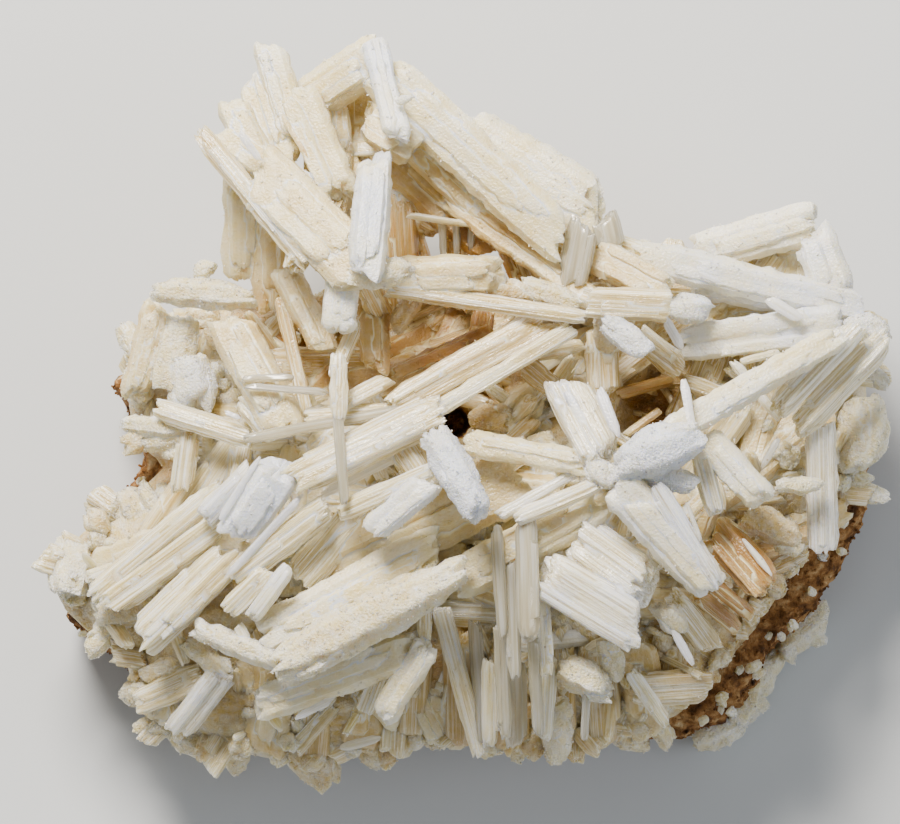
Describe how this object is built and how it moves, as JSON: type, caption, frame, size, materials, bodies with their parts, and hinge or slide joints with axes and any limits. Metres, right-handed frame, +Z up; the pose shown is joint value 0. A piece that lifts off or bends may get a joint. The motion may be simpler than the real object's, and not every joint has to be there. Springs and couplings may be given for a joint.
{
  "type": "cerussite crystal cluster",
  "caption": "Jackstraw cluster of white, striated prismatic lead carbonate crystals grown over a flat-bottomed slab of brown gossan matrix.",
  "frame": {"origin": "on the table plane, at the middle of the specimen's outline, on the flat underside of the gossan slab", "axes": "+Z up out of the crystals; +X to the right along the longest side in the pictured view; +Y towards the top of that view"},
  "size_m": [0.0853, 0.0758, 0.0371],
  "materials": {
    "cerussite": "creamy white, translucent, striated, with an adamantine lustre",
    "gossan": "rough, earthy brown iron oxide",
    "crust_cerussite": "stubby off-white crystals with a sugary surface"
  },
  "bodies": {
    "root": {"crystal_cluster": "cerussite", "gossan_matrix": "gossan", "underside_crust": "crust_cerussite"}
  },
  "joints": []
}
